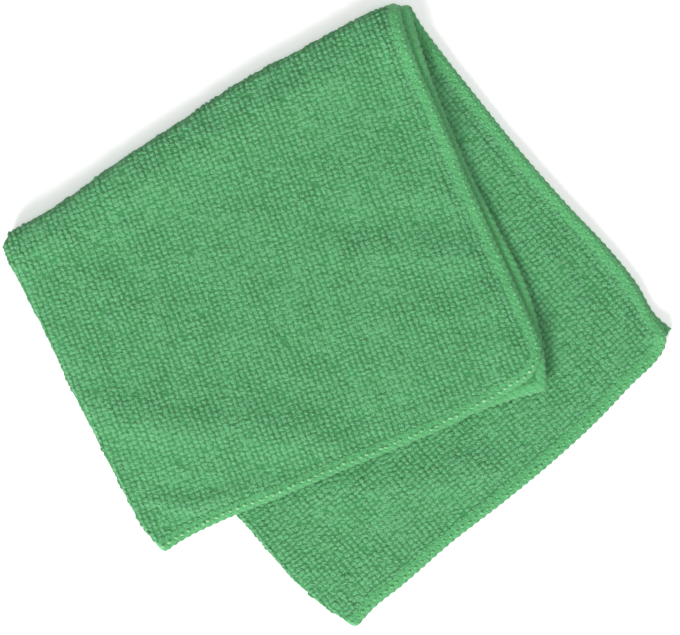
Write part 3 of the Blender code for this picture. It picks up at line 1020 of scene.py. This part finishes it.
# %% All nubs of a layer at once
def nub_mesh(name, x, y, seed):
    """Points, faces, map, tone and tip of the nubs over one layer. A nub's point is its
    form times its half sizes, as steps in reach along the two lattice directions, so each
    nub bends with the cloth it stands on."""
    rng = np.random.default_rng(seed)
    inset = hem_inset(name, x, y)
    pitch, ways = directions(name)
    count = len(x)
    _, by_x, by_y = slopes(name, x, y)
    along, across = (np.column_stack(solve(by_x, by_y, np.tile(way, (count, 1)))) for way in ways)
    spin = rng.normal(0.0, UNEVEN_TURN, count)[:, None]
    first = np.cos(spin) * along + np.sin(spin) * across
    second = np.cos(spin) * across - np.sin(spin) * along
    opened = np.outer(openness(x, y), OPENNESS)
    half = rng.normal(1.0, UNEVEN_SPREAD, (count, 2)) * pitch * NUB_SPREADS[name] * (1 - opened)
    by_hem = LOW_BY_HEM + (1 - LOW_BY_HEM) * smooth((inset - LOW_INSET) / LOW_WIDTH)
    tall = rng.normal(1.0, UNEVEN_HEIGHT, count) * NUB_HEIGHT * by_hem
    sideways, run = outward(x, y), (x + y) / ROLL_WAVE
    lumps = 0.5 + 0.5 * np.sin(run + 2.0 * np.sin(run / 3.3))
    tall = tall * (1 + opened[:, 1] + sideways * (ROLL_BLOOM + ROLL_LUMP * lumps))
    rim = smooth((sideways - RIM_START) / RIM_WIDTH)
    form = NUB[None] * rng.normal(1.0, UNEVEN_FORM, (count, len(NUB), 3))
    up = form[..., 2] * tall[:, None]
    lean = rng.normal(0, UNEVEN_LEAN, (count, 2))
    steps = form[..., :2] * half[:, None] + up[..., None] * lean[:, None]
    reach = np.column_stack([x, y])[:, None]
    reach = reach + steps[..., :1] * first[:, None] + steps[..., 1:] * second[:, None]
    height = up + (floor_height(inset) - SUNK * by_hem)[:, None]
    points = on_layer(name, reach[..., 0].ravel(), reach[..., 1].ravel(), height.ravel())
    faces = copied_faces((NUB_BASE, NUB_SIDES, NUB_TOP), count, len(NUB))
    flat_map = np.concatenate([np.tile(part, (count, 1)) for part in (MAP_BASE, MAP_SIDES, MAP_TOP)])
    # Tone is random, less painted shade on the rolls' sides; the tip share, lowered there too, sets
    # the painted shade at each nub's base and the painted highlight at its tip.
    tone = np.repeat(rng.random(count) - ROLL_SHADE * rim, len(NUB))
    tip = np.outer(1 - ROLL_SHADE_DULLING * rim, np.concatenate([np.zeros(SIDES), level, [1.0]])).ravel()
    return points, faces, flat_map, tone, tip


def make_nubs(piece_name, layer, x, y, seed):
    """One layer's nubs as a piece, with its map and the two values its finish reads."""
    points, faces, flat_map, tone, tip = nub_mesh(layer, x, y, seed)
    piece = make_piece(piece_name, points, faces, terry)
    corner_map(piece, "strands", flat_map)
    point_values(piece, "tone", tone)
    point_values(piece, "tip", tip)
    return piece


terry_top = make_nubs("terry_top", "top", top_x, top_y, 11)
terry_lower = make_nubs("terry_lower", "second", second_x, second_y, 12)

# %% [markdown]
# ## The overlock seam
#
# An overlock wraps the raw edge in soft yarn. Here that is one closed band: a profile in
# two numbers, how far in from the cut edge and how far off the middle of the sheet,
# carried once round the whole square, over the folds and back to where it started. Each
# stitch draws the edge in a little, so the outline is faintly scalloped. Single yarns
# would take far more faces, and from here their bump is all that shows.

# %% The seam's path
STATION = 0.55 * MM
STITCH = 3.5 * MM


def loop_stations(step):
    """Shares and turns once round the cut edge, about a step apart."""
    panel = int(chord_length("cross_fold") / step)
    lower, upper = int(chord_length("second_side") / step), int(chord_length("top_side") / step)
    crease_turns = max(3, int(CREASE_RADIUS * np.pi / step))
    cross_turns = max(4, int(CROSS_RADIUS * np.pi / step))
    a_share, a_turn = over_fold(panel, crease_turns, panel, -np.pi / 2, np.pi / 2)
    b_share, b_turn = over_fold(lower, cross_turns, upper, 0.0, np.pi)
    one_a, one_b = np.ones(len(a_share)), np.ones(len(b_share))
    across = np.concatenate([a_share, one_b, a_share[::-1], one_b])
    turn = np.concatenate([a_turn, one_b * a_turn[-1], a_turn[::-1], one_b * a_turn[0]])
    along = np.concatenate([one_a, b_share, one_a, b_share[::-1]])
    cross = np.concatenate([one_a * b_turn[0], b_turn, one_a * b_turn[-1], b_turn[::-1]])
    keep = np.ones(len(across), bool)
    keep[np.cumsum([len(a_share), len(b_share), len(a_share), len(b_share)]) - 1] = False
    return across[keep], turn[keep], along[keep], cross[keep]


stations = loop_stations(STATION)
NEEDLE_INSET = 5.6 * MM
needle_line = by_shares(*stations, NEEDLE_INSET / 2, 0.0)
steps = np.linalg.norm(np.diff(needle_line, axis=0, append=needle_line[:1]), axis=1)
seam_length = steps.sum()
stitch_count = int(round(seam_length / STITCH))
travelled = np.concatenate([[0.0], np.cumsum(steps)[:-1]]) / seam_length * stitch_count
print("seam:", round(seam_length, 3), "m,", stitch_count, "stitches")

# %% The band
HALF_BAND = (
    # (inset mm, offset mm) from the inner edge of the band to the cut edge
    (6.3, 0.00),
    (6.0, 0.40),
    (5.3, 0.66),
    (4.2, 0.78),
    (3.0, 0.82),
    (2.0, 0.77),
    (1.1, 0.62),
    (0.4, 0.36),
)
EDGE_TIP = (0.0, 0.0)
SCALLOP = 0.45 * MM
SCALLOP_REACH = 2.0 * MM
PUFF = 0.09 * MM
PUFF_HEIGHT = 0.5 * MM
FULLER_UNDER = 1.4


def band_points(stations, travelled, profile):
    """The profile at every station: near the edge the inset swings once a stitch, and the
    yarn swells a little between two stitches."""
    inset, offset = np.array(profile).T * MM
    spread = [np.repeat(values, len(inset)) for values in stations]
    beat = np.cos(2 * np.pi * np.repeat(travelled, len(inset)))
    inset, offset = np.tile(inset, len(travelled)), np.tile(offset, len(travelled))
    near_edge = 1 - smooth(inset / SCALLOP_REACH)
    pulled = inset + SCALLOP * (0.5 - 0.5 * beat) * near_edge
    swollen = offset + np.sign(offset) * PUFF * beat * smooth(np.abs(offset) / PUFF_HEIGHT)
    return by_shares(*spread, pulled, swollen)


under = tuple((inset, -FULLER_UNDER * offset) for inset, offset in reversed(HALF_BAND[1:]))
PROFILE = (*HALF_BAND, EDGE_TIP, *under)
band = band_points(stations, travelled, PROFILE)
band_quads = grid_quads(len(stations[0]), len(PROFILE), True, True)
overlock_band = make_piece("overlock_band", band, [band_quads], hem_yarn)
point_values(overlock_band, "stitch", np.repeat(travelled, len(PROFILE)))
point_values(overlock_band, "inset", np.tile(np.array(PROFILE)[:, 0], len(travelled)))

# %% [markdown]
# ## The stitches
#
# At every stitch a finer, paler thread shows as a bright knot near the edge. It dives into
# the soft yarn, and over the needle hole it shows once more, fainter. Each of the two is a
# short grain along the seam, given by how far along it is, how far in, and how high over
# the middle of the sheet. A bevelled curve could draw each, but arrays make all at once.

# %% Knots and needle loops
KNOT = (
    # (along, in stitches; inset mm; height mm; half width mm)
    (-0.18, 2.90, 0.50, 0.25),
    (-0.13, 2.84, 0.84, 0.56),
    (-0.05, 2.74, 0.98, 0.74),
    (0.05, 2.66, 0.98, 0.74),
    (0.12, 2.56, 0.86, 0.56),
    (0.17, 2.50, 0.52, 0.25),
)
NEEDLE_LOOP = (
    (-0.16, 6.00, 0.34, 0.12),
    (-0.10, 5.80, 0.60, 0.26),
    (0.00, 5.60, 0.74, 0.34),
    (0.10, 5.40, 0.66, 0.27),
    (0.17, 5.25, 0.40, 0.12),
)
# A hidden grain lies this much deeper, in mm. The tension changes every few stitches.
SINK = 0.34
SPELL = 9
SPELL_SHOWS = (0.5, 1.35)
STITCH_SHOWS = (0.55, 1.3)
STITCH_TONES = (0.6, 1.0)
# How far grains stray: along and in length, in stitches, and in and up, in mm
STRAY_ALONG, STRAY_LENGTH = 0.10, 0.18
STRAY_IN, STRAY_UP = 0.28, 0.06
UNEVEN_GRAIN, UNEVEN_ROUTE = 0.12, 0.08
UP_STEP = 0.1 * MM


print("knots of a grain:", len(KNOT), "and", len(NEEDLE_LOOP))


# %% All grains of one kind at once
def station_at(position):
    """The path's shares and turns at a number of stitches along it."""
    knots = np.append(travelled, stitch_count)
    position = np.mod(position, stitch_count)
    return [np.interp(position, knots, np.append(values, values[0])) for values in stations]


def grain_mesh(route, wanted, shows, seed):
    """Tubes along the route at the wanted stitches, each a little uneven, with capped ends.
    The less one shows, the deeper it sinks into the yarn."""
    rng = np.random.default_rng(seed)
    along, inset, height, half = np.array(route).T
    count, knots = len(wanted), len(along)
    shift = rng.normal(0, 1, (count, 4))
    spells = rng.uniform(*SPELL_SHOWS, count // SPELL + 2)
    shows = shows * np.interp(wanted, np.arange(len(spells)) * SPELL, spells)
    shows = np.clip(shows * rng.uniform(*STITCH_SHOWS, count), 0.0, 1.0)
    position = (wanted + STRAY_ALONG * shift[:, 0])[:, None]
    position = position + along * (1 + STRAY_LENGTH * shift[:, 3:])
    inset = (inset + STRAY_IN * shift[:, 1:2]) * MM
    height = (height + STRAY_UP * shift[:, 2:3] - SINK * (1 - shows[:, None])) * MM
    half = half * rng.normal(1.0, UNEVEN_GRAIN, (count, 1)) * MM
    half = half * rng.normal(1.0, UNEVEN_ROUTE, (count, knots))
    where = station_at(position.ravel())
    line = by_shares(*where, inset.ravel(), height.ravel()).reshape(count, knots, 3)
    over = by_shares(*where, inset.ravel(), height.ravel() + UP_STEP).reshape(line.shape)
    forward = unit(np.gradient(line, axis=1))
    up = over - line
    up = unit(up - np.sum(up * forward, axis=2, keepdims=True) * forward)
    sideways = np.cross(forward, up)
    ring = np.linspace(0, 2 * np.pi, THREAD_SIDES, endpoint=False)
    round_way = up[:, :, None] * np.cos(ring)[:, None] + sideways[:, :, None] * np.sin(ring)[:, None]
    points = line[:, :, None] + half[:, :, None, None] * round_way
    size = knots * THREAD_SIDES
    quads = grid_quads(knots, THREAD_SIDES, False, True)
    caps = np.stack([np.arange(THREAD_SIDES)[::-1], size - THREAD_SIDES + np.arange(THREAD_SIDES)])
    faces = copied_faces((quads, caps), count, size)
    row, column = np.divmod(np.arange(len(quads)), THREAD_SIDES)
    twist = np.stack([row, column, row, column + 1, row + 1, column + 1, row + 1, column], axis=1)
    flat_map = np.concatenate([np.tile(twist.ravel(), count), np.zeros(4 * THREAD_SIDES * count)])
    tone = shows * rng.uniform(*STITCH_TONES, count)
    return points.reshape(-1, 3), faces, flat_map, np.repeat(tone, size)


# %% Both kinds in one piece
every_stitch = np.arange(stitch_count) + 0.5
GRAINS = (
    # (route, seed, how much it shows on the top layer's end hem, on its side hem, and on
    # the lower pair)
    (KNOT, 21, 1.0, 0.30, 0.12),
    (NEEDLE_LOOP, 23, 0.60, 0.20, 0.15),
)


def shown(position, on_end, on_side, below):
    """How much a grain shows, by the hem that it is on: 0 where the face looks down."""
    across, turn, along, cross_turn = station_at(position)
    upper = cross_turn > np.pi / 2
    on_top = np.where((along > 0.999) & (across < 0.999), on_end, on_side)
    return np.where(upper == (turn < 0), np.where(upper, on_top, below), 0.0)


points, faces, maps, tones, start = [], [], [], [], 0
for route, seed, *by_hem in GRAINS:
    shows = shown(every_stitch, *by_hem)
    wanted, shows = every_stitch[shows > 0], shows[shows > 0]
    grain_points, grain_faces, flat_map, tone = grain_mesh(route, wanted, shows, seed)
    points.append(grain_points)
    faces += [part + start for part in grain_faces]
    maps.append(flat_map)
    tones.append(tone)
    start += len(grain_points)
seam_threads = make_piece("seam_threads", np.concatenate(points), faces, thread)
corner_map(seam_threads, "twist", np.concatenate(maps))
point_values(seam_threads, "tone", np.concatenate(tones))

# %% [markdown]
# ## The table, the light and the camera
#
# The photograph looks straight down on a cloth that is cut out on white. So the table is
# plain and pale, and glows a little, which leaves only a faint shadow. A large soft lamp
# stands low at the lower left, because the cloth's ridges are lighter on that side, and a
# weak one hangs overhead. The lens follows from the scale and the camera's height.

# %% Floor
FLOOR_HALF = 3.0
WHITE = (1.0, 1.0, 1.0, 1.0)
floor_mesh = bpy.data.meshes.new("floor")
floor_corners = [(x * FLOOR_HALF, y * FLOOR_HALF, 0) for x, y in ((-1, -1), (1, -1), (1, 1), (-1, 1))]
floor_mesh.from_pydata(floor_corners, [], [(0, 1, 2, 3)])
floor = new_object("floor", floor_mesh)
paper = bpy.data.materials.new("pale_table")
paper.use_nodes = True
surface = paper.node_tree.nodes["Principled BSDF"]
set_inputs(surface, {"Base Color": (0.92, 0.92, 0.92, 1.0), "Roughness": 0.9})
set_inputs(surface, {"Emission Color": WHITE, "Emission Strength": 0.30})
floor_mesh.materials.append(paper)
print("table, m across:", 2 * FLOOR_HALF)

# %% Light
def soft_light(name, place, size, power):
    """A square lamp that looks at the cloth. Place and size are in metres, power in watts."""
    lamp = bpy.data.lights.new(name, "AREA")
    lamp.size, lamp.energy = size, power
    light = new_object(name, lamp)
    light.location = place
    light.rotation_euler = (-Vector(place)).to_track_quat("-Z", "Y").to_euler()
    print(name, "lamp's distance, m:", round(Vector(place).length, 2))


soft_light("key", (-1.06, -2.41, 1.60), 1.15, 100)
soft_light("fill", (0.5, 0.2, 2.0), 1.6, 10)
world = bpy.data.worlds.new("room")
world.use_nodes = True
set_inputs(world.node_tree.nodes["Background"], {"Color": WHITE, "Strength": 0.40})
bpy.context.scene.world = world
bpy.context.scene.view_settings.view_transform = "Standard"

# %% Camera
IMAGE_WIDTH_PX = 680
MM_PER_PX = 0.455
SENSOR = 36.0
CAMERA_HEIGHT = 2.0
LOOKED_AT = (0.9 * MM, -1.05 * MM)
lens_data = bpy.data.cameras.new("camera")
lens_data.sensor_width = SENSOR
lens_data.lens = SENSOR * (CAMERA_HEIGHT - STACK / 2) / (IMAGE_WIDTH_PX * MM_PER_PX * MM)
camera = new_object("camera", lens_data)
camera.location = (*LOOKED_AT, CAMERA_HEIGHT)
bpy.context.scene.camera = camera
print("lens, mm:", round(lens_data.lens, 1))
